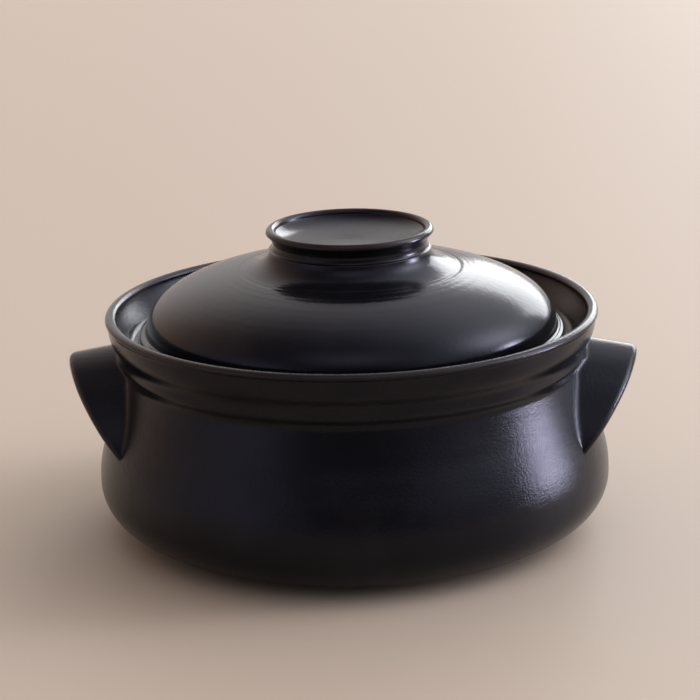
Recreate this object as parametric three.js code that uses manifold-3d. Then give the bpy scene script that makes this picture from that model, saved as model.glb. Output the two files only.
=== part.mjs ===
import * as THREE from 'three';
import { mergeVertices } from 'three/addons/utils/BufferGeometryUtils.js';
import Module from 'manifold-3d';

// A lidded stoneware casserole: a bellied pot with a collar, two hooded ears and a domed lid.
// Millimetres, +Z up, origin on the axis at table level, ears along X.

// Pot wall
const potHeight = 109; // table to the crest of the lip
const bellyRadius = 125.9;
const bellyHeight = 27; // level of the widest girth
const bellyTuck = 20.6; // how long the wall stays upright below the girth
const bellyRise = 22; // and above it
const neckRadius = 112.4; // crease between belly and collar
const neckHeight = 82.6;
const neckDrop = 20; // how long the wall stays upright below the crease
const wallThickness = 6.8;
const floorThickness = 8;
const floorRadius = 90; // flat inside floor, before it curves up
const innerTuck = 17;

// Foot ring
const footRadius = 90;
const footWidth = 12;
const footStep = 1.2; // the belly clears the table by this much beside the foot
const footRecess = 2.6; // hollow of the underside inside the ring
const footBevel = 1.5;
const heelReach = 11.5; // how long the wall stays flat beside the foot

// Collar and lip
const ridgeRadius = 113.5; // soft ridge above the crease
const ridgeHeight = 87.4;
const ridgeLean = 2.7; // how far the collar leans out as it leaves the ridge
const ridgeLift = 4; // and how far up that lean goes
const collarRadius = 119;
const collarTop = 105; // undercut below the lip
const collarBelly = 10; // how long the collar stays upright below the undercut
const lipRadius = 117.5; // centre line of the rolled lip
const lipWidth = 5.3;
const lipRoll = 2.1; // height of the lip's rounded top

// Gallery, the ledge inside the collar that carries the lid
const galleryRadius = 108;
const galleryDepth = 15.3; // below the crest of the lip
const galleryFillet = 2.2;
const mouthRadius = 99.5;
const mouthDepth = 7; // height of the mouth's inner edge
const mouthRound = 2;

// Lid
const seatGap = 0.3; // lid flange above the ledge
const lidPlay = 3.5; // lid flange to the gallery wall
const flangeThickness = 5;
const flangeRound = 2.4;
const domeRadius = 100;
const domeStep = 2; // upright foot of the dome above the flange
const domeRise = 31.6;
const domeFullness = 2.16; // exponent of the dome's superellipse
const domeWall = 6.3;
const domeFillet = 1.5;

// Knob, a dish on a waist with a flared foot
const luteGap = 0.3; // seam between pieces that are luted together
const knobRadius = 40.8;
const knobRise = 49.6; // flange top to the top of the knob
const knobLip = 4.6; // width of the dish's rolled lip
const knobLipDepth = 5; // knob top to where the lip leaves the waist
const dishDepth = 7.4;
const dishLean = 5; // inward lean of the dish's side
const dishSweep = 30; // lip to where the dish's floor is level
const waistRadius = 37.7;
const waistDrop = 7.2; // knob top to the narrowest level
const footRingDrop = 10.3; // knob top to the ring under the waist
const footRingRadius = 39.4;
const flareRadius = 52.5; // foot of the flare, on the dome
const flareBead = 0.5; // height of the bead at the flare's foot
const flareTuck = 12.2; // how far in from the bead the flare stays low
const flareLift = 2.2; // and how far it climbs there
const knobWall = 6.7;
const knobHollowRound = 2;

// Ears, each an arched hood whose mouth faces out and down
const earSpan = 53; // half width at the foot of the arch
const earBase = 44.6; // level of the foot of the arch
const earRise = 46.4; // arch height on the wall
const earFullness = 1.6; // exponent of the arch's superellipse, below 2 for a peaked arch
const earLength = 24.2; // reach of the hood's crown from the wall
const earFootSink = 1.8; // depth of the mouth's plane in the wall at the foot of the arch
const earDroop = 4.5; // fall of the hood's crown from the wall to the tip
const earWall = 6;
const earFillet = 2.6;
const earInnerFillet = 2;
const earLeastFillet = 0.3; // what is left of both fillets where the arch runs out
const earSink = 16; // how far the hood is carried into the wall before it is fitted to it
const earSweep = 102; // degrees of arch to each side, past level so the feet run out in the wall

// Glaze, near black with a violet cast, satin on the pot and glossier on the lid
const glazeColour = 0x17161a;
const earSheen = 0.42;
const potSheen = 0.38;
const lidSheen = 0.34;
const knobSheen = 0.3;

// Facets
const turnSteps = 56;
const knobSteps = 40;
const facetLength = 9; // along a curved outline
const roundSteps = 3; // least facets of a fillet
const domeSteps = 9;
const earSteps = 26;
const earRoundSteps = 3;
const mergeReach = 1e-4; // corners closer than this are one

const lipLevel = potHeight - lipRoll;
const galleryLevel = potHeight - galleryDepth;
const flangeRadius = galleryRadius - lidPlay;
const flangeBottom = galleryLevel + seatGap;
const flangeTop = flangeBottom + flangeThickness;
const domeBase = flangeTop + domeStep;
const knobTop = flangeTop + knobRise;
const knobHollow = waistRadius - knobWall;

const wasm = await Module();
wasm.setup();

// Closed solid from a geometry: shared corners are merged and collapsed faces dropped
function solid(geometry) {
  geometry.deleteAttribute('normal');
  geometry.deleteAttribute('uv');
  const merged = mergeVertices(geometry, mergeReach);
  const corners = merged.index.array;
  const kept = [];
  for (let i = 0; i < corners.length; i += 3) {
    const [a, b, c] = corners.slice(i, i + 3);
    if (a !== b && b !== c && c !== a) kept.push(a, b, c);
  }
  const vertProperties = Float32Array.from(merged.attributes.position.array);
  const triVerts = Uint32Array.from(kept);
  return new wasm.Manifold(new wasm.Mesh({ numProp: 3, vertProperties, triVerts }));
}

// Named mesh of a solid
function piece(name, body, material) {
  const { vertProperties, triVerts } = body.getMesh();
  const geometry = new THREE.BufferGeometry();
  geometry.setAttribute('position', new THREE.BufferAttribute(vertProperties, 3));
  geometry.setIndex(new THREE.BufferAttribute(triVerts, 1));
  geometry.computeVertexNormals();
  const mesh = new THREE.Mesh(geometry, material);
  mesh.name = name;
  return mesh;
}

// Points of an outline: straight runs stay whole, curves get facets by their length
function sampled(path) {
  const points = [path.curves[0].getPoint(0)];
  for (const curve of path.curves) {
    const least = curve.isEllipseCurve ? 2 * roundSteps : roundSteps;
    const steps = curve.isLineCurve ? 1 : Math.max(least, Math.ceil(curve.getLength() / facetLength));
    points.push(...curve.getPoints(steps).slice(1));
  }
  return points;
}

// Solid of revolution about Z from an outline that runs up the outside and down the inside
function turned(outline, steps) {
  const geometry = new THREE.LatheGeometry(outline, steps);
  geometry.rotateX(Math.PI / 2);
  return solid(geometry);
}

// Outside of the pot from the heel, beside the foot, up to the lip
function addWall(path, growth = 0) {
  const heel = footRadius + footBevel + growth;
  path.bezierCurveTo(
    heel + heelReach, footStep,
    bellyRadius + growth, bellyHeight - bellyTuck,
    bellyRadius + growth, bellyHeight,
  );
  path.bezierCurveTo(
    bellyRadius + growth, bellyHeight + bellyRise,
    neckRadius + growth, neckHeight - neckDrop,
    neckRadius + growth, neckHeight,
  );
  path.quadraticCurveTo(
    neckRadius + growth, (neckHeight + ridgeHeight) / 2,
    ridgeRadius + growth, ridgeHeight,
  );
  path.bezierCurveTo(
    ridgeRadius + ridgeLean + growth, ridgeHeight + ridgeLift,
    collarRadius + growth, collarTop - collarBelly,
    collarRadius + growth, collarTop,
  );
}

// Pot: foot ring, wall, rolled lip, gallery, mouth and the hollow inside
function potOutline() {
  const footInner = footRadius - footWidth;
  const lipOuter = lipRadius + lipWidth / 2;
  const lipInner = lipRadius - lipWidth / 2;
  const innerBelly = bellyRadius - wallThickness;
  const innerNeck = neckRadius - wallThickness;
  const mouthFoot = galleryLevel - mouthDepth;
  const path = new THREE.Path();
  path.moveTo(0, footRecess);
  path.lineTo(footInner - footBevel, footRecess);
  path.lineTo(footInner, 0);
  path.lineTo(footRadius, 0);
  path.lineTo(footRadius + footBevel, footStep);
  addWall(path);
  path.quadraticCurveTo(lipOuter, collarTop, lipOuter, lipLevel);
  path.absellipse(lipRadius, lipLevel, lipWidth / 2, lipRoll, 0, Math.PI, false, 0);
  path.lineTo(lipInner, lipLevel - lipRoll);
  path.lineTo(galleryRadius + galleryFillet / 2, galleryLevel + galleryFillet);
  path.quadraticCurveTo(galleryRadius, galleryLevel, galleryRadius - galleryFillet, galleryLevel);
  path.lineTo(mouthRadius + mouthRound, galleryLevel);
  path.quadraticCurveTo(mouthRadius, galleryLevel, mouthRadius, galleryLevel - mouthRound);
  path.lineTo(mouthRadius, mouthFoot);
  path.bezierCurveTo(
    innerNeck, mouthFoot - mouthDepth,
    innerNeck, neckHeight - neckDrop,
    (innerNeck + innerBelly) / 2, (neckHeight + bellyHeight) / 2,
  );
  path.quadraticCurveTo(innerBelly, bellyHeight + bellyRise / 2, innerBelly, bellyHeight);
  path.bezierCurveTo(
    innerBelly, bellyHeight - innerTuck,
    floorRadius + heelReach, floorThickness + footStep,
    floorRadius, floorThickness + footStep,
  );
  path.lineTo(0, floorThickness);
  return sampled(path);
}

// Wall of the pot as a filled form, grown by the seam that a luted ear keeps to it
function wallForm() {
  const path = new THREE.Path();
  path.moveTo(0, footStep);
  path.lineTo(footRadius + footBevel + luteGap, footStep);
  addWall(path, luteGap);
  path.lineTo(0, collarTop);
  return sampled(path);
}

// Level of the dome's superellipse at a radius
function domeLevel(radius, reach, base, rise) {
  return base + rise * (1 - (radius / reach) ** domeFullness) ** (1 / domeFullness);
}

// Stretch of a dome's outline between its springing and an inner radius
function domeArc(reach, base, rise, innerRadius, steps) {
  const endAngle = Math.acos((innerRadius / reach) ** (domeFullness / 2));
  const points = [];
  for (let i = 0; i <= steps; i += 1) {
    const angle = (endAngle * i) / steps;
    const radius = reach * Math.cos(angle) ** (2 / domeFullness);
    points.push(new THREE.Vector2(radius, domeLevel(radius, reach, base, rise)));
  }
  return points;
}

// Lid: flange, dome and the round hole that the knob's hollow opens into
function domeOutline() {
  const innerReach = domeRadius - domeWall;
  const innerBase = flangeBottom + domeFillet;
  const innerRise = domeBase + domeRise - domeWall - innerBase;
  const flange = new THREE.Path();
  flange.moveTo(innerReach, innerBase);
  flange.quadraticCurveTo(innerReach, flangeBottom, innerReach + domeFillet, flangeBottom);
  flange.lineTo(flangeRadius - flangeRound, flangeBottom);
  flange.quadraticCurveTo(flangeRadius, flangeBottom, flangeRadius, flangeBottom + flangeRound);
  flange.lineTo(flangeRadius, flangeTop - flangeRound);
  flange.quadraticCurveTo(flangeRadius, flangeTop, flangeRadius - flangeRound, flangeTop);
  flange.lineTo(domeRadius + domeFillet, flangeTop);
  flange.quadraticCurveTo(domeRadius, flangeTop, domeRadius, domeBase);
  const outside = domeArc(domeRadius, domeBase, domeRise, knobHollow, domeSteps);
  const inside = domeArc(innerReach, innerBase, innerRise, knobHollow, domeSteps).reverse();
  return [...sampled(flange), ...outside.slice(1), ...inside];
}

// Knob: hollow underneath, flared foot on the dome, waist, rolled lip and dish
function knobOutline() {
  const dishLevel = knobTop - dishDepth;
  const hollowTop = dishLevel - knobWall;
  const waistLevel = knobTop - waistDrop;
  const ringLevel = knobTop - footRingDrop;
  const flareLevel = domeLevel(flareRadius, domeRadius, domeBase, domeRise) + luteGap;
  const lipInner = knobRadius - knobLip;
  const seat = domeArc(domeRadius, domeBase, domeRise, knobHollow, domeSteps)
    .filter((point) => point.x > knobHollow && point.x < flareRadius)
    .map((point) => new THREE.Vector2(point.x, point.y + luteGap))
    .reverse();
  const hollow = new THREE.Path();
  hollow.moveTo(0, hollowTop);
  hollow.lineTo(knobHollow - knobHollowRound, hollowTop);
  hollow.quadraticCurveTo(knobHollow, hollowTop, knobHollow, hollowTop - knobHollowRound);
  hollow.lineTo(knobHollow, domeLevel(knobHollow, domeRadius, domeBase, domeRise) + luteGap);
  const outside = new THREE.Path();
  outside.moveTo(flareRadius, flareLevel);
  outside.quadraticCurveTo(
    flareRadius, flareLevel + flareBead,
    flareRadius - flareBead, flareLevel + flareBead,
  );
  outside.quadraticCurveTo(
    flareRadius - flareTuck, flareLevel + flareBead + flareLift,
    footRingRadius, ringLevel,
  );
  outside.quadraticCurveTo(waistRadius, ringLevel, waistRadius, waistLevel);
  outside.quadraticCurveTo(waistRadius, knobTop - knobLipDepth, knobRadius, knobTop - knobLip / 2);
  outside.absellipse(
    knobRadius - knobLip / 2, knobTop - knobLip / 2,
    knobLip / 2, knobLip / 2, 0, Math.PI, false, 0,
  );
  outside.quadraticCurveTo(lipInner - dishLean, dishLevel, lipInner - dishSweep, dishLevel);
  outside.lineTo(0, dishLevel);
  return [...sampled(hollow), ...seat, ...sampled(outside)];
}

// Radius of the pot's outside at a level, between the points of its outline
function wallRadius(outline, level) {
  for (let i = 1; i < outline.length; i += 1) {
    const low = outline[i - 1];
    const high = outline[i];
    if (low.y <= level && level < high.y) {
      return low.x + ((high.x - low.x) * (level - low.y)) / (high.y - low.y);
    }
  }
  return collarRadius;
}

// Section of the hood at one place of its arch, as distance out from the wall and rise above the hood.
// It has a fillet where it leaves the wall, a rounded lip and a smaller fillet inside.
function earSection(reach) {
  const round = earWall / 2;
  const lipStart = reach - round;
  const outer = THREE.MathUtils.clamp(lipStart / 2, earLeastFillet, earFillet);
  const inner = THREE.MathUtils.clamp(lipStart / 2, earLeastFillet, earInnerFillet);
  const outerFoot = Math.min(0, lipStart - 2 * outer);
  const innerFoot = Math.min(0, lipStart - 2 * inner);
  const points = [new THREE.Vector2(-earSink, outer)];
  for (let i = 0; i <= earRoundSteps; i += 1) {
    const turn = (Math.PI / 2) * (i / earRoundSteps);
    points.push(new THREE.Vector2(outerFoot + outer * (1 - Math.cos(turn)), outer * (1 - Math.sin(turn))));
  }
  for (let i = 0; i <= earRoundSteps * 2; i += 1) {
    const turn = Math.PI * (i / (earRoundSteps * 2));
    points.push(new THREE.Vector2(lipStart + round * Math.sin(turn), round * (Math.cos(turn) - 1)));
  }
  for (let i = 0; i <= earRoundSteps; i += 1) {
    const turn = (Math.PI / 2) * (1 - i / earRoundSteps);
    const along = innerFoot + inner * (1 - Math.cos(turn));
    points.push(new THREE.Vector2(along, -earWall - inner * (1 - Math.sin(turn))));
  }
  points.push(new THREE.Vector2(-earSink, -earWall - inner));
  return points;
}

// Closed skin over a row of sections with equal numbers of points
function loft(rings, sections) {
  const count = rings[0].length;
  const positions = rings.flat().flatMap((point) => point.toArray());
  const faces = [];
  for (let r = 0; r + 1 < rings.length; r += 1) {
    for (let i = 0; i < count; i += 1) {
      const a = r * count + i;
      const b = r * count + ((i + 1) % count);
      faces.push(a, b, a + count, b, b + count, a + count);
    }
  }
  const last = (rings.length - 1) * count;
  for (const [a, b, c] of THREE.ShapeUtils.triangulateShape(sections[0], [])) faces.push(a, b, c);
  for (const [a, b, c] of THREE.ShapeUtils.triangulateShape(sections.at(-1), [])) {
    faces.push(last + a, last + c, last + b);
  }
  const geometry = new THREE.BufferGeometry();
  geometry.setAttribute('position', new THREE.Float32BufferAttribute(positions, 3));
  geometry.setIndex(faces);
  return geometry;
}

// Power of a sine or cosine that keeps its sign
function bent(value, power) {
  return Math.sign(value) * Math.abs(value) ** power;
}

// Ear: a hood swept over its arch and fitted to the wall of the pot
function ear(wall) {
  const outline = wallForm();
  const tip = wallRadius(outline, earBase + earRise) + earLength;
  const foot = Math.sqrt(wallRadius(outline, earBase) ** 2 - earSpan ** 2) - earFootSink;
  const out = new THREE.Vector3(earLength, 0, -earDroop).normalize();
  const rings = [];
  const sections = [];
  for (let i = 0; i <= earSteps; i += 1) {
    const angle = THREE.MathUtils.degToRad(earSweep) * ((2 * i) / earSteps - 1);
    const across = bent(Math.sin(angle), 2 / earFullness);
    const height = bent(Math.cos(angle), 2 / earFullness);
    const side = earSpan * across;
    const level = earBase + earRise * height;
    const depth = Math.sqrt(wallRadius(outline, level) ** 2 - side ** 2);
    const root = new THREE.Vector3(depth, side, level);
    const up = new THREE.Vector3(
      0,
      bent(across, earFullness - 1) / earSpan,
      bent(height, earFullness - 1) / earRise,
    );
    up.addScaledVector(out, -up.dot(out)).normalize();
    const mouth = foot + (tip - foot) * height;
    const section = earSection((mouth - depth) / out.x);
    sections.push(section);
    rings.push(section.map((point) => root.clone()
      .addScaledVector(out, point.x)
      .addScaledVector(up, point.y)));
  }
  return solid(loft(rings, sections)).subtract(wall);
}

// Black satin glaze, one material for each piece
function glaze(roughness) {
  return new THREE.MeshStandardMaterial({ color: glazeColour, roughness, metalness: 0 });
}

const earSolid = ear(turned(wallForm(), turnSteps));
const casserole = new THREE.Group();
const rightEar = piece('handle_right', earSolid, glaze(earSheen));
const leftEar = piece('handle_left', earSolid, glaze(earSheen));
leftEar.rotation.z = Math.PI;
casserole.add(piece('pot_body', turned(potOutline(), turnSteps), glaze(potSheen)));
casserole.add(leftEar, rightEar);

const lid = new THREE.Group();
lid.add(piece('lid_dome', turned(domeOutline(), turnSteps), glaze(lidSheen)));
lid.add(piece('lid_knob', turned(knobOutline(), knobSteps), glaze(knobSheen)));
casserole.add(lid);

export default casserole;
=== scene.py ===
import math

import bpy
import numpy as np
from mathutils import Matrix, Vector


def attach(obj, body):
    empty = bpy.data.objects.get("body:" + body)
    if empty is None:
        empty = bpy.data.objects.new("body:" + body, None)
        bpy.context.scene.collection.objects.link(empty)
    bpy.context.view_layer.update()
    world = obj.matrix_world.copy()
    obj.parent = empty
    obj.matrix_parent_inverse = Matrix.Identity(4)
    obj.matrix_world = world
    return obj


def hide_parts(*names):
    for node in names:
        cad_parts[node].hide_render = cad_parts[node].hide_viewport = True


# A lidded stoneware casserole in black satin glaze: pot, two hooded ears, domed lid and dished knob.
# Sizes are in millimetres here and become metres when a mesh is filled. The ears lie along X.
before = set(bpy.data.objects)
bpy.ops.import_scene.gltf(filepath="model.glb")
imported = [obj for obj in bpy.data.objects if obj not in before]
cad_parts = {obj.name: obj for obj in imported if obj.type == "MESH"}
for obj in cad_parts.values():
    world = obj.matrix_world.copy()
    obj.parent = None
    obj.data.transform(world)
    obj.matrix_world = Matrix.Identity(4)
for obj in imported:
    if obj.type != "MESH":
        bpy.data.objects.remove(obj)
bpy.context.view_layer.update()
mm = 0.001
touching = 1e-6  # points closer than this are one
print("frame loaded:", sorted(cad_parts))


# Shapes: outlines in (radius, level) and the surfaces they sweep

def bezier(points, steps):
    # Bernstein sum of the control points, steps + 1 points from the first to the last
    points = np.array(points, float)
    t = np.linspace(0.0, 1.0, steps + 1)[:, None]
    degree = len(points) - 1
    weights = [math.comb(degree, k) * t ** k * (1 - t) ** (degree - k) for k in range(degree + 1)]
    return sum(weight * point for weight, point in zip(weights, points))


def straight(start, end, steps):
    # even steps from start to end
    return bezier([start, end], steps)


def roundOver(centre, radii, fromAngle, toAngle, steps):
    # arc of an ellipse, angles in degrees from the +radius direction
    turn = np.radians(np.linspace(fromAngle, toAngle, steps + 1))
    return np.stack([centre[0] + radii[0] * np.cos(turn), centre[1] + radii[1] * np.sin(turn)], 1)


def joined(*stretches):
    # stretches laid end to end, without the points that repeat
    line = np.concatenate([np.atleast_2d(np.array(stretch, float)) for stretch in stretches])
    step = np.hypot(*np.diff(line, axis=0).T)
    return line[np.concatenate([[True], step > touching])]


def smooth(values, low, high):
    # 0 below low, 1 above high, 3 t^2 - 2 t^3 between
    t = np.clip((values - low) / (high - low), 0, 1)
    return t * t * (3 - 2 * t)


def unit(vectors):
    # each vector over its length
    return vectors / np.linalg.norm(vectors, axis=-1, keepdims=True)


def alongAndAcross(line):
    # length along an outline, and its outward normal (to the right of the way it runs)
    step = np.hypot(*np.diff(line, axis=0).T)
    along = np.concatenate([[0.0], np.cumsum(step)])
    ahead = np.gradient(line, axis=0)
    return along, unit(np.stack([ahead[:, 1], -ahead[:, 0]], 1))


edgeWear = dict(softRadius=7.0, sharpRadius=2.0, evening=1.2)


def sharpTurns(line):
    # 0 to 1 as an outline's outward bend goes from the soft radius to the sharp one, evened along the outline
    along, across = alongAndAcross(line)
    turn = np.unwrap(np.arctan2(across[:, 1], across[:, 0]))
    apart = (along[:, None] - along[None]) / edgeWear["evening"]
    near = np.exp(-apart ** 2) * np.gradient(along)[None]
    bend = (near @ np.gradient(turn, along)) / near.sum(1)
    softBend, sharpBend = 1 / edgeWear["softRadius"], 1 / edgeWear["sharpRadius"]
    return np.clip((bend - softBend) / (sharpBend - softBend), 0.0, 1.0)


poleGuard = 0.5  # no relief this near the axis


def revolved(line, steps, relief=None):
    # every point of the outline carried round Z, moved along the outline's normal by relief(line, angle);
    # a point on the axis becomes one vertex, and an outline that closes on itself makes a ring
    closes = np.allclose(line[0], line[-1])
    line = line[:-1] if closes else line
    angle = np.linspace(0.0, 2 * np.pi, steps, endpoint=False)
    radius = np.repeat(line[:, :1], steps, 1)
    level = np.repeat(line[:, 1:], steps, 1)
    if relief is not None:
        across = alongAndAcross(line)[1]
        lift = relief(line, angle) * (line[:, :1] > poleGuard)
        radius = radius + across[:, :1] * lift
        level = level + across[:, 1:] * lift
    grid = np.stack([radius * np.cos(angle), radius * np.sin(angle), level], -1)
    onAxis = line[:, 0] < touching
    counts = np.where(onAxis, 1, steps)
    first = np.concatenate([[0], np.cumsum(counts)[:-1]])
    index = first[:, None] + np.where(onAxis[:, None], 0, np.arange(steps)[None])
    points = np.concatenate([row[:count] for row, count in zip(grid, counts)])
    rows = np.arange(len(line)) if closes else np.arange(len(line) - 1)
    low = index[rows]
    high = index[(rows + 1) % len(line)]
    quads = np.stack([low, np.roll(low, -1, 1), np.roll(high, -1, 1), high], -1)
    capLow, capHigh = onAxis[rows], onAxis[(rows + 1) % len(line)]
    faces = quads[~(capLow | capHigh)].reshape(-1, 4).tolist()
    faces += quads[capLow][..., [0, 2, 3]].reshape(-1, 3).tolist()
    faces += quads[capHigh][..., [0, 1, 2]].reshape(-1, 3).tolist()
    return points, faces, np.repeat(sharpTurns(line), counts)


def newPiece(name, points, faces, thin=None):
    # thin is 1 on the sharp turns where the glaze runs off, and goes into an attribute of the same name
    mesh = bpy.data.meshes.new(name)
    mesh.from_pydata((points * mm).tolist(), [], faces)
    mesh.polygons.foreach_set("use_smooth", np.ones(len(mesh.polygons), bool))
    if thin is not None:
        mesh.attributes.new("thin", "FLOAT", "POINT").data.foreach_set("value", thin)
    mesh.update()
    piece = bpy.data.objects.new(name, mesh)
    bpy.context.scene.collection.objects.link(piece)
    return piece


# Shader maths

class Wire:  # one socket, used in sums
    def __init__(self, paint, socket):
        self.paint = paint
        self.socket = socket

    def maths(self, operation, left, right):
        return self.paint.node("ShaderNodeMath", {"operation": operation}, {0: left, 1: right})

    def __add__(self, other):
        return self.maths("ADD", self, other)

    def __radd__(self, other):
        return self.maths("ADD", other, self)

    def __sub__(self, other):
        return self.maths("SUBTRACT", self, other)

    def __rsub__(self, other):
        return self.maths("SUBTRACT", other, self)

    def __mul__(self, other):
        return self.maths("MULTIPLY", self, other)

    def __rmul__(self, other):
        return self.maths("MULTIPLY", other, self)

    def __truediv__(self, other):
        return self.maths("DIVIDE", self, other)

    def __rtruediv__(self, other):
        return self.maths("DIVIDE", other, self)

    def __pow__(self, other):
        return self.maths("POWER", self, other)

    def __rpow__(self, other):
        return self.maths("POWER", other, self)


class Paint:  # a material's or world's nodes
    def __init__(self, owner):
        owner.use_nodes = True
        self.tree = owner.node_tree
        self.tree.nodes.clear()

    def node(self, kind, settings=None, inputs=None, output=0):
        # settings first, then a value or a link for each input
        made = self.tree.nodes.new(kind)
        for key, value in (settings or {}).items():
            setattr(made, key, value)
        for key, value in (inputs or {}).items():
            if isinstance(value, Wire):
                self.tree.links.new(value.socket, made.inputs[key])
            else:
                made.inputs[key].default_value = value
        return Wire(self, made.outputs[output]) if made.outputs else None

    def mixed(self, mask, first, second):
        # colour that runs from first to second as mask goes from 0 to 1
        return self.node("ShaderNodeMix", {"data_type": "RGBA"}, {0: mask, 6: first, 7: second}, output=2)

    def ramp(self, value, low, high):
        # 0 below low, 1 above high, smooth between
        return self.node("ShaderNodeMapRange", {"interpolation_type": "SMOOTHSTEP"},
                         {0: value, 1: low, 2: high, 3: 0.0, 4: 1.0})

    def noise(self, place, scale, detail=2.0, roughness=0.5):
        # cloudy values about 0.5
        return self.node("ShaderNodeTexNoise", {}, {"Vector": place, "Scale": scale, "Detail": detail,
                                                    "Roughness": roughness})

    def bump(self, height, depth, normal=None):
        # a normal tilted by the slope of height times depth
        inputs = {"Strength": 1.0, "Distance": depth, "Height": height}
        if normal:
            inputs["Normal"] = normal
        return self.node("ShaderNodeBump", {}, inputs)


# Glazes: scales are per metre and depths in metres, as Object coordinates are

glazeLook = dict(
    deep=(0.0036, 0.0036, 0.0048, 1.0), pale=(0.0072, 0.0068, 0.0080, 1.0), paleFrom=0.35, paleTo=0.75,
    edge=(0.022, 0.016, 0.012, 1.0), edgeFrom=0.2, edgeTo=0.6, edgeGloss=0.06,
    specular=0.22, sheen=(0.86, 0.85, 1.0, 1.0), ior=1.5,
    mottleScale=38.0, mottleDetail=3.0, mottleRough=0.06,
    grainScale=960.0, grainDetail=2.0, grainBite=0.7, grainRough=0.10,
    peelScale=330.0, peelDepth=0.00005)

potLook = dict(  # levels in millimetres
    collarGloss=0.11, collarFrom=79.5, collarTo=82.5,
    glazeLine=1.0, lineBlur=0.1, lineRun=0.5, lineScale=60.0,
    clay=(0.42, 0.31, 0.21, 1.0), clayDark=(0.30, 0.21, 0.14, 1.0), clayScale=420.0, clayDetail=3.0,
    clayRough=0.85)


def potFinish(paint, place, colour, rough):
    # glossier from the neck up, and bare clay on the foot below a wandering glaze line
    look = potLook
    level = paint.node("ShaderNodeSeparateXYZ", {}, {0: place}, output=2) / mm
    rough = rough - look["collarGloss"] * paint.ramp(level, look["collarFrom"], look["collarTo"])
    line = level + look["lineRun"] * (paint.noise(place, look["lineScale"]) - 0.5)
    glazed = paint.ramp(line, look["glazeLine"] - look["lineBlur"], look["glazeLine"] + look["lineBlur"])
    speckle = paint.noise(place, look["clayScale"], look["clayDetail"])
    clay = paint.mixed(speckle, look["clayDark"], look["clay"])
    rough = glazed * rough + (1 - glazed) * look["clayRough"]
    return paint.mixed(glazed, clay, colour), rough


def makeGlaze(name, satin, grainDepth, finish=None):
    # black glaze: mottled depth, brown where it thins on the edges, grain that glitters in highlights, and
    # orange-peel relief; finish(paint, place, colour, rough) changes the colour and roughness of a part of it
    look = glazeLook
    glaze = bpy.data.materials.new(name)
    paint = Paint(glaze)
    place = paint.node("ShaderNodeTexCoord", output=3)
    thin = paint.node("ShaderNodeAttribute", {"attribute_name": "thin"}, output=2)
    mottle = paint.noise(place, look["mottleScale"], look["mottleDetail"])
    grain = paint.noise(place, look["grainScale"], look["grainDetail"], look["grainBite"])
    peel = paint.noise(place, look["peelScale"])
    colour = paint.mixed(paint.ramp(mottle, look["paleFrom"], look["paleTo"]), look["deep"], look["pale"])
    worn = thin * paint.ramp(mottle, look["edgeFrom"], look["edgeTo"])
    colour = paint.mixed(worn, colour, look["edge"])
    rough = satin + look["grainRough"] * (grain - 0.5) + look["mottleRough"] * (mottle - 0.5)
    rough = rough - look["edgeGloss"] * thin
    if finish:
        colour, rough = finish(paint, place, colour, rough)
    relief = paint.bump(grain, grainDepth, paint.bump(peel, look["peelDepth"]))
    shader = paint.node("ShaderNodeBsdfPrincipled", {}, {
        "Base Color": colour, "Roughness": rough, "Specular IOR Level": look["specular"],
        "Specular Tint": look["sheen"], "IOR": look["ior"], "Normal": relief})
    paint.node("ShaderNodeOutputMaterial", {}, {"Surface": shader})
    return glaze


potGlaze = makeGlaze("pot_black_satin", satin=0.22, grainDepth=0.00014, finish=potFinish)
lidGlaze = makeGlaze("lid_black_satin", satin=0.17, grainDepth=0.00002)
print("glazes made")


# Pot

potSize = dict(
    height=109.0, wall=6.8, floor=8.0, floorRadius=90.0, innerTuck=17.0,
    footRadius=90.0, footWidth=12.0, footStep=1.2, footRecess=2.6, footBevel=1.5, recessRun=1.0,
    innerToe=0.4, outerToe=0.6, toeRound=0.3, heelTuck=0.2, heelReach=11.5,
    bellyRadius=125.9, bellyLevel=27.0, bellyTuck=20.6, bellyRise=22.0,
    neckRadius=112.4, neckLevel=82.6, neckDrop=20.0,
    cut=1.3, cutFoot=66.5, cutLevel=80.5, cutTop=85.5,
    bead=0.62, beadLevel=88.6, beadBelow=3.0, beadAbove=5.5,
    ridgeRadius=113.5, ridgeLevel=87.4, ridgeLean=1.9, ridgeLift=4.0,
    collarRadius=119.0, collarTop=105.0, collarBelly=10.0,
    lipRadius=117.5, lipWidth=5.3, lipRoll=2.1, lipBlend=0.9,
    galleryRadius=108.0, galleryDepth=15.3, galleryFillet=2.2,
    mouthRadius=99.5, mouthDepth=7.0, mouthRound=2.0,
    markDepth=0.02, finePitch=1.7, fineSway=0.5, broadPitch=2.9, broadStart=1.0, broadSway=0.4,
    turns=256)


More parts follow.
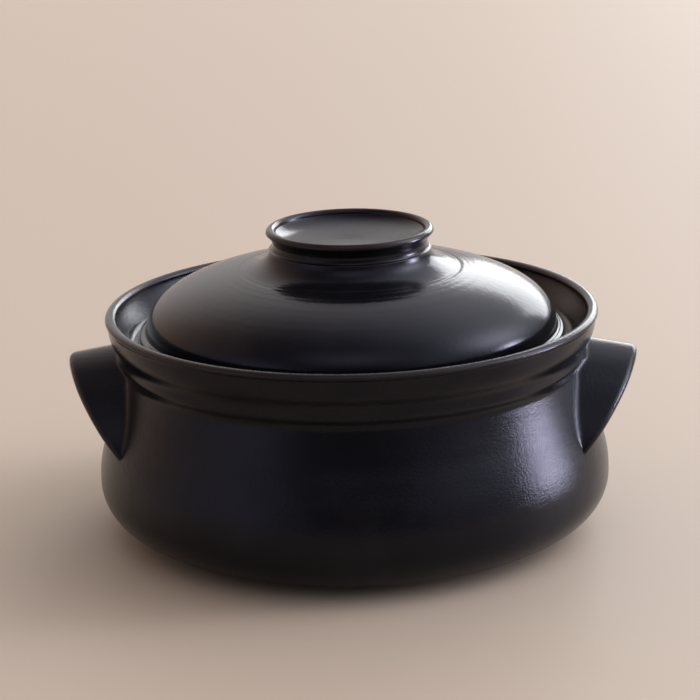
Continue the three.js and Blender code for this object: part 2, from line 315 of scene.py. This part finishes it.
def wallLine(size):
    # outside of the pot, from the heel beside the foot up to the collar's top
    heel, step = size["footRadius"] + size["footBevel"], size["footStep"]
    belly, bellyLevel = size["bellyRadius"], size["bellyLevel"]
    neck, neckLevel = size["neckRadius"], size["neckLevel"]
    ridge, ridgeLevel = size["ridgeRadius"], size["ridgeLevel"]
    collar, collarTop = size["collarRadius"], size["collarTop"]
    line = joined(
        bezier([(heel, step), (heel + size["heelReach"], step),
                (belly, bellyLevel - size["bellyTuck"]), (belly, bellyLevel)], 44),
        bezier([(belly, bellyLevel), (belly, bellyLevel + size["bellyRise"]),
                (neck, neckLevel - size["neckDrop"]), (neck, neckLevel)], 60),
        bezier([(neck, neckLevel), (neck, (neckLevel + ridgeLevel) / 2), (ridge, ridgeLevel)], 16),
        bezier([(ridge, ridgeLevel), (ridge + size["ridgeLean"], ridgeLevel + size["ridgeLift"]),
                (collar, collarTop - size["collarBelly"]), (collar, collarTop)], 36))
    level = line[:, 1]
    # the shoulder keeps its slope up to a turned cut, which deepens with the square of the height
    depth = np.clip((level - size["cutFoot"]) / (size["cutLevel"] - size["cutFoot"]), 0, 1) ** 2
    depth = size["cut"] * depth * (1 - smooth(level, size["cutLevel"], size["cutTop"]))
    # soft bead above the cut: h exp(-(h / reach)^2), out below its middle and in above it
    above = level - size["beadLevel"]
    reach = np.where(above > 0, size["beadAbove"], size["beadBelow"])
    line[:, 0] -= depth + size["bead"] * above * np.exp(-(above / reach) ** 2)
    return line


def potLine(size):
    # the whole section: underside, foot ring, wall, lip, gallery, mouth, inside and floor
    foot, step, bevel, recess = size["footRadius"], size["footStep"], size["footBevel"], size["footRecess"]
    footInner, toe = foot - size["footWidth"], size["toeRound"]
    recessEnd = footInner - bevel - size["recessRun"]
    flatStart, flatEnd = footInner + size["innerToe"], foot - size["outerToe"]
    collar, collarTop, blend = size["collarRadius"], size["collarTop"], size["lipBlend"]
    lip, half, roll = size["lipRadius"], size["lipWidth"] / 2, size["lipRoll"]
    lipLevel = size["height"] - roll
    gallery, fillet = size["galleryRadius"], size["galleryFillet"]
    ledge = size["height"] - size["galleryDepth"]
    mouth, mouthRound, mouthFoot = size["mouthRadius"], size["mouthRound"], ledge - size["mouthDepth"]
    innerBelly, bellyLevel = size["bellyRadius"] - size["wall"], size["bellyLevel"]
    innerNeck, neckLevel = size["neckRadius"] - size["wall"], size["neckLevel"]
    middle = ((innerNeck + innerBelly) / 2, (neckLevel + bellyLevel) / 2)
    floorRadius, floorLevel = size["floorRadius"], size["floor"] + step
    return joined(
        straight((0, recess), (recessEnd, recess), 16),
        bezier([(recessEnd, recess), (footInner - bevel, recess), (footInner - bevel / 2, recess / 2),
                (footInner - toe, toe), (flatStart, 0)], 10),
        straight((flatStart, 0), (flatEnd, 0), 8),
        bezier([(flatEnd, 0), (foot + size["heelTuck"], 0), (foot + toe, step), (foot + bevel, step)], 8),
        wallLine(size),
        bezier([(collar, collarTop), (collar, collarTop + blend),
                (lip + half, lipLevel - blend), (lip + half, lipLevel)], 12),
        roundOver((lip, lipLevel), (half, roll), 0, 180, 30),
        bezier([(lip - half, lipLevel), (lip - half, lipLevel - roll),
                (gallery + fillet / 2, ledge + fillet)], 14),
        bezier([(gallery + fillet / 2, ledge + fillet), (gallery, ledge), (gallery - fillet, ledge)], 8),
        straight((gallery - fillet, ledge), (mouth + mouthRound, ledge), 5),
        bezier([(mouth + mouthRound, ledge), (mouth, ledge), (mouth, ledge - mouthRound)], 8),
        straight((mouth, ledge - mouthRound), (mouth, mouthFoot), 4),
        bezier([(mouth, mouthFoot), (innerNeck, mouthFoot - size["mouthDepth"]),
                (innerNeck, neckLevel - size["neckDrop"]), middle], 22),
        bezier([middle, (innerBelly, bellyLevel + size["bellyRise"] / 2), (innerBelly, bellyLevel)], 16),
        bezier([(innerBelly, bellyLevel), (innerBelly, bellyLevel - size["innerTuck"]),
                (floorRadius + size["heelReach"], floorLevel), (floorRadius, floorLevel)], 24),
        straight((floorRadius, floorLevel), (0, size["floor"]), 14))


def potRelief(line, angle):
    # soft throwing marks, cut inwards only: two sine waves up the wall that sway round the pot
    level, size = line[:, 1:], potSize
    fine = np.sin(level / size["finePitch"] + size["fineSway"] * np.sin(angle))
    broad = np.sin(level / size["broadPitch"] + size["broadStart"] + size["broadSway"] * np.cos(2 * angle))
    return size["markDepth"] * (fine + broad - 2)


potBody = newPiece("pot_wall", *revolved(potLine(potSize), potSize["turns"], potRelief))
potBody.data.materials.append(potGlaze)
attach(potBody, "pot")
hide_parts("pot_body")
print("pot wall:", len(potBody.data.polygons), "faces")


# Ears

earSize = dict(
    span=53.0, base=44.6, rise=46.4, fullness=1.6, length=25.75, footSink=1.8, droop=4.78,
    wall=6.0, fillet=2.6, innerFillet=2.0, leastFillet=0.3, sink=2.5, sweep=100.0,
    archSteps=180, filletSteps=12, runSteps=8, lipSteps=18)


def bent(values, power):
    # the size to a power, with the sign kept
    return np.sign(values) * np.abs(values) ** power


def earSurface(size, outline):
    # a hood over a peaked arch. With a from -sweep to sweep, s = sin(a)^(2/n) and c = cos(a)^(2/n), the arch
    # on the wall is (span s, base + rise c), and the strip runs out along one drooping direction to a slanted
    # mouth at foot + (tip - foot) c. The strip has a rounded lip, and a fillet to the wall on each side.
    a = np.radians(np.linspace(-size["sweep"], size["sweep"], size["archSteps"] + 1))
    sideways, height = bent(np.sin(a), 2 / size["fullness"]), bent(np.cos(a), 2 / size["fullness"])
    side, level = size["span"] * sideways, size["base"] + size["rise"] * height
    across = unit(np.stack([bent(sideways, size["fullness"] - 1) / size["span"],
                            bent(height, size["fullness"] - 1) / size["rise"]], -1))

    def wallRadius(z):
        # the wall's radius at a level, read off its outline
        return np.interp(z, outline[:, 1], outline[:, 0])

    def onWall(offset):
        # the arch moved by offset over the wall, across itself
        y = side + offset * across[:, 0]
        z = level + offset * across[:, 1]
        return np.stack([np.sqrt(wallRadius(z) ** 2 - y ** 2), y, z], -1)

    zero = np.zeros_like(a)
    root = onWall(zero)
    out = unit(np.array([size["length"], 0.0, -size["droop"]]))
    tip = wallRadius(size["base"] + size["rise"]) + size["length"]
    foot = math.sqrt(wallRadius(size["base"]) ** 2 - size["span"] ** 2) - size["footSink"]
    reach = (foot + (tip - foot) * height - root[:, 0]) / out[0]
    up = np.concatenate([zero[:, None], across], 1)
    up = unit(up - (up @ out)[:, None] * out)
    roundness = size["wall"] / 2
    lipStart = reach - roundness
    fillet = np.clip(lipStart / 2, size["leastFillet"], size["fillet"])
    innerFillet = np.clip(lipStart / 2, size["leastFillet"], size["innerFillet"])
    shift = np.minimum(0.0, lipStart - 2 * fillet)[:, None] * out
    nudge = 0.05  # step over which the wall's slope is read

    def filletRing(offset, corner, end):
        # quadratic curve from the wall, along the wall's own slope, round to the strip
        start = onWall(offset)
        slope = (onWall(offset + nudge) - onWall(offset - nudge)) / (2 * nudge)
        bend = start - slope * (offset - corner)[:, None]
        t = np.linspace(0.0, 1.0, size["filletSteps"] + 1)[:, None, None]
        return (1 - t) ** 2 * start + 2 * t * (1 - t) * bend + t ** 2 * end

    outerFillet = filletRing(fillet, zero, root + fillet[:, None] * out) + shift
    lipFoot = root + lipStart[:, None] * out
    t = np.linspace(0.0, 1.0, size["runSteps"] + 1)[1:-1, None, None]
    outerRun = (1 - t) * outerFillet[-1] + t * lipFoot
    turn = np.linspace(0.0, np.pi, size["lipSteps"] + 1)[:, None, None]
    lipRing = lipFoot + roundness * (np.sin(turn) * out + (np.cos(turn) - 1) * up)
    corner = zero - size["wall"]
    innerEnd = onWall(corner) + innerFillet[:, None] * out
    innerRing = filletRing(corner - innerFillet, corner, innerEnd)[::-1] + shift
    innerRun = (1 - t) * lipRing[-1] + t * innerRing[0]
    sunk = np.array([size["sink"], 0.0, 0.0])
    rings = np.concatenate([outerFillet[:1] - sunk, outerFillet, outerRun, lipRing, innerRun, innerRing,
                            innerRing[-1:] - sunk])
    onLip = np.zeros(len(rings))
    onLip[len(outerFillet) + len(outerRun) + 1:][:len(lipRing)] = np.sin(turn[:, 0, 0])
    return rings.transpose(1, 0, 2), np.tile(onLip, len(a))


def sweptFaces(stations, count):
    # quads between closed rings, with one many-sided face over each end
    grid = np.arange(stations * count).reshape(stations, count)
    low, high = grid[:-1], grid[1:]
    quads = np.stack([low, np.roll(low, -1, 1), np.roll(high, -1, 1), high], -1).reshape(-1, 4).tolist()
    return quads + [grid[0][::-1].tolist(), grid[-1].tolist()]


earRings, earLip = earSurface(earSize, wallLine(potSize))
earFaces = sweptFaces(*earRings.shape[:2])
for name, node, turn in (("ear_right", "handle_right", 0.0), ("ear_left", "handle_left", math.pi)):
    points = earRings.reshape(-1, 3) @ np.array(Matrix.Rotation(turn, 3, "Z")).T
    ear = newPiece(name, points, earFaces, earLip)
    ear.data.materials.append(potGlaze)
    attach(ear, "pot")
    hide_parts(node)
    print(name + ":", len(ear.data.polygons), "faces")


# Lid

lidSize = dict(
    flangeRadius=104.5, flangeBottom=94.0, flangeThickness=5.0, flangeRound=2.4,
    domeRadius=100.0, domeStep=2.0, domeRise=31.6, fullness=2.16, wall=6.3, fillet=1.5, hole=31.0,
    # turning marks: the grooves' radius, depth and width, and faint rings
    grooves=((53.6, 0.12, 1.3), (57.0, 0.05, 1.2), (60.4, 0.06, 1.5), (65.0, 0.03, 1.5)),
    grooveSway=0.25, ringDepth=0.01, ringPitch=0.9, ringSway=0.8, ringFade=4.1, skin=1.0,
    turns=256, domeSteps=190)


def domeBase(size):
    # the level where the dome starts, a step above the flange
    return size["flangeBottom"] + size["flangeThickness"] + size["domeStep"]


def domeLevel(size, radius, reach, base, rise):
    # superellipse of revolution: base + rise (1 - (radius / reach)^n)^(1/n)
    return base + rise * (1 - (radius / reach) ** size["fullness"]) ** (1 / size["fullness"])


def outerDome(size, radius):
    # level of the dome's outside at a radius
    return domeLevel(size, radius, size["domeRadius"], domeBase(size), size["domeRise"])


def domeArc(size, reach, base, rise, steps):
    # from the reach in to the hole, at radius = reach cos(t)^(2/n), which lies closer where the dome is steep
    end = math.acos((size["hole"] / reach) ** (size["fullness"] / 2))
    radius = reach * np.cos(np.linspace(0.0, end, steps + 1)) ** (2 / size["fullness"])
    return np.stack([radius, domeLevel(size, radius, reach, base, rise)], 1)


def lidLine(size):
    # flange, outside of the dome, the hole under the knob, inside of the dome
    bottom, base = size["flangeBottom"], domeBase(size)
    top = bottom + size["flangeThickness"]
    edge, soft = size["flangeRadius"], size["flangeRound"]
    reach, fillet = size["domeRadius"], size["fillet"]
    innerReach, innerBase = reach - size["wall"], bottom + fillet
    innerRise = base + size["domeRise"] - size["wall"] - innerBase
    return joined(
        bezier([(innerReach, innerBase), (innerReach, bottom), (innerReach + fillet, bottom)], 8),
        straight((innerReach + fillet, bottom), (edge - soft, bottom), 6),
        bezier([(edge - soft, bottom), (edge, bottom), (edge, bottom + soft)], 8),
        straight((edge, bottom + soft), (edge, top - soft), 3),
        bezier([(edge, top - soft), (edge, top), (edge - soft, top)], 8),
        straight((edge - soft, top), (reach + fillet, top), 4),
        bezier([(reach + fillet, top), (reach, top), (reach, base)], 8),
        domeArc(size, reach, base, size["domeRise"], size["domeSteps"]),
        domeArc(size, innerReach, innerBase, innerRise, size["domeSteps"] // 2)[::-1])


def lidRelief(line, angle):
    # on the dome's outer skin only: turning marks round the knob, as grooves with a bell-shaped section that
    # sway a little round the lid, and faint rings, as one sine wave of the radius times another
    radius, level, size = line[:, :1], line[:, 1:], lidSize
    outside = level > outerDome(size, np.minimum(radius, size["domeRadius"])) - size["skin"]
    sway = size["grooveSway"]
    grooves = sum(depth * np.exp(-((radius - place - sway * np.sin(angle + place)) / width) ** 2)
                  for place, depth, width in size["grooves"])
    wave = np.sin(radius / size["ringPitch"] + size["ringSway"] * np.sin(angle))
    rings = size["ringDepth"] * (1 + wave * np.sin(radius / size["ringFade"]))
    return -(grooves + rings) * outside


lid = newPiece("lid", *revolved(lidLine(lidSize), lidSize["turns"], lidRelief))
lid.data.materials.append(lidGlaze)
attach(lid, "lid")
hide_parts("lid_dome")
print("lid:", len(lid.data.polygons), "faces")


# Knob

knobSize = dict(
    radius=40.8, top=148.6, lip=4.6, lipDepth=5.0, dishDepth=7.4, dishLean=5.0, dishSweep=30.0,
    waist=37.7, waistDrop=7.2, ringDrop=10.3, ringRadius=39.4,
    flareRadius=52.5, flareTuck=12.2, flareLift=2.7, wall=6.7, hollowRound=2.0, bedding=0.1,
    bedSteps=24, turns=192)


def knobLine(size):
    # hollow underneath, bed on the dome, flared foot, waist, rolled lip and dish
    top, flare, waist = size["top"], size["flareRadius"], size["waist"]
    dish = top - size["dishDepth"]
    hollow, hollowTop, hollowRound = waist - size["wall"], dish - size["wall"], size["hollowRound"]
    bedRadius = np.linspace(hollow, flare, size["bedSteps"])
    bed = np.stack([bedRadius, outerDome(lidSize, bedRadius) - size["bedding"]], 1)
    ring, ringLevel, waistLevel = size["ringRadius"], top - size["ringDrop"], top - size["waistDrop"]
    lipRound = size["lip"] / 2
    lipLevel = top - lipRound
    lipInner = size["radius"] - size["lip"]
    dishEdge = lipInner - size["dishSweep"]
    return joined(
        straight((0, hollowTop), (hollow - hollowRound, hollowTop), 8),
        bezier([(hollow - hollowRound, hollowTop), (hollow, hollowTop),
                (hollow, hollowTop - hollowRound)], 8),
        straight((hollow, hollowTop - hollowRound), bed[0], 4),
        bed,
        bezier([bed[-1], (flare - size["flareTuck"], bed[-1, 1] + size["flareLift"]), (ring, ringLevel)], 36),
        bezier([(ring, ringLevel), (waist, ringLevel), (waist, waistLevel)], 14),
        bezier([(waist, waistLevel), (waist, top - size["lipDepth"]), (size["radius"], lipLevel)], 14),
        roundOver((size["radius"] - lipRound, lipLevel), (lipRound, lipRound), 0, 180, 28),
        bezier([(lipInner, lipLevel), (lipInner - size["dishLean"], dish), (dishEdge, dish)], 34),
        straight((dishEdge, dish), (0, dish), 4))


knob = newPiece("knob", *revolved(knobLine(knobSize), knobSize["turns"]))
knob.data.materials.append(lidGlaze)
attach(knob, "lid")
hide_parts("lid_knob")
print("knob:", len(knob.data.polygons), "faces")


# Floor, light and camera

studio = dict(
    floorReach=12000.0, floorRings=8, floorTurns=96, floorColour=(0.54, 0.435, 0.32, 1.0), floorRough=0.6,
    skyBase=(0.05, 0.05, 0.06))


def makeFloor():
    # wide flat disc
    disc = straight((studio["floorReach"], 0), (0, 0), studio["floorRings"])
    floor = newPiece("floor", *revolved(disc, studio["floorTurns"])[:2])
    finish = bpy.data.materials.new("pale_floor")
    paint = Paint(finish)
    shader = paint.node("ShaderNodeBsdfPrincipled", {}, {"Base Color": studio["floorColour"],
                                                         "Roughness": studio["floorRough"]})
    paint.node("ShaderNodeOutputMaterial", {}, {"Surface": shader})
    floor.data.materials.append(finish)


def heading(bearing, climb):
    # unit vector at a bearing from +Y towards +X and a climb above the floor, in degrees
    bearing, climb = math.radians(bearing), math.radians(climb)
    level = math.cos(climb)
    return Vector((math.sin(bearing) * level, math.cos(bearing) * level, math.sin(climb)))


skyGlows = {  # bearing, climb, tightness, colour
    "right_low": (81, 0, 140.0, (23.0, 23.0, 29.0)),
    "right_mid": (81, 9, 140.0, (23.0, 23.0, 29.0)),
    "right_high": (79, 33, 22.0, (5.0, 5.1, 5.8)),
    "high_right": (56, 44, 6.0, (1.50, 1.52, 1.70)),
    "front_right": (118, 28, 10.0, (0.85, 0.85, 1.0)),
    "back": (-8, 24, 6.0, (0.92, 0.88, 0.86)),
    "left": (-62, 24, 5.0, (0.62, 0.38, 0.23)),
    "far_left": (-105, 8, 4.0, (0.26, 0.25, 0.29)),
    "front_left": (-130, 10, 14.0, (0.46, 0.47, 0.60)),
    "front_high": (178, 54, 14.0, (0.75, 0.75, 0.85)),
    "ceiling": (0, 90, 1.0, (0.08, 0.08, 0.10)),
}


def makeSky():
    # dim all round, with soft glows that fall off as a power of the cosine of the angle from their middle
    world = bpy.data.worlds.new("studio")
    bpy.context.scene.world = world
    paint = Paint(world)
    direction = paint.node("ShaderNodeTexCoord")
    light = studio["skyBase"]
    for bearing, climb, tightness, colour in skyGlows.values():
        facing = paint.node("ShaderNodeVectorMath", {"operation": "DOT_PRODUCT"},
                            {0: direction, 1: heading(bearing, climb)}, output=1)
        glow = paint.node("ShaderNodeMath", {"operation": "MAXIMUM"}, {0: facing, 1: 0.0}) ** tightness
        light = paint.node("ShaderNodeVectorMath", {"operation": "MULTIPLY_ADD"},
                           {0: colour, 1: glow, 2: light})
    shader = paint.node("ShaderNodeBackground", {}, {0: light, 1: 1.0})
    paint.node("ShaderNodeOutputWorld", {}, {0: shader})


panel = dict(  # metres and degrees; glow is how bright its face is
    bearing=22, climb=15.5, distance=8.0, aimLevel=0.07, width=4.4, height=3.1,
    glow=5.0, colour=(0.96, 0.98, 1.0))


def makePanel():
    # one broad lamp at the back right, out of the camera's sight; its power is glow pi width height
    lamp = bpy.data.lights.new("back_right_panel", "AREA")
    lamp.shape = "RECTANGLE"
    lamp.size, lamp.size_y = panel["width"], panel["height"]
    lamp.energy = panel["glow"] * math.pi * panel["width"] * panel["height"]
    lamp.color = panel["colour"]
    holder = bpy.data.objects.new("back_right_panel", lamp)
    away = heading(panel["bearing"], panel["climb"])
    holder.location = Vector((0.0, 0.0, panel["aimLevel"])) + away * panel["distance"]
    holder.rotation_euler = (-away).to_track_quat("-Z", "Y").to_euler()
    holder.visible_camera = False
    bpy.context.scene.collection.objects.link(holder)


cameraView = dict(  # lens and sensor in millimetres, places in metres, turns in degrees
    lens=123.7, sensor=36.0, distance=1.176, aimLevel=0.109,
    pitch=15.05, roll=1.3, tiltDown=1.073, turnLeft=0.055, roundRight=1.5)


def turned(degrees, axis):
    # rotation about an axis
    return Matrix.Rotation(math.radians(degrees), 4, axis)


def makeCamera():
    # stands back from the lip's centre at the photographed pitch, then tilts down to frame the whole pot
    view = cameraView
    lens = bpy.data.cameras.new("view")
    lens.lens, lens.sensor_width = view["lens"], view["sensor"]
    holder = bpy.data.objects.new("view", lens)
    pitch = math.radians(view["pitch"])
    back = Vector((0.0, -math.cos(pitch), math.sin(pitch))) * view["distance"]
    place = back + Vector((0, 0, view["aimLevel"]))
    aim = turned(view["turnLeft"], "Z") @ turned(90.0 - view["pitch"] - view["tiltDown"], "X")
    aim = aim @ turned(-view["roll"], "Z")
    holder.matrix_world = turned(view["roundRight"], "Z") @ Matrix.Translation(place) @ aim
    bpy.context.scene.collection.objects.link(holder)
    bpy.context.scene.camera = holder


makeFloor()
makeSky()
makePanel()
makeCamera()
bpy.context.scene.view_settings.view_transform = "Standard"
print("studio ready")

bpy.context.view_layer.update()
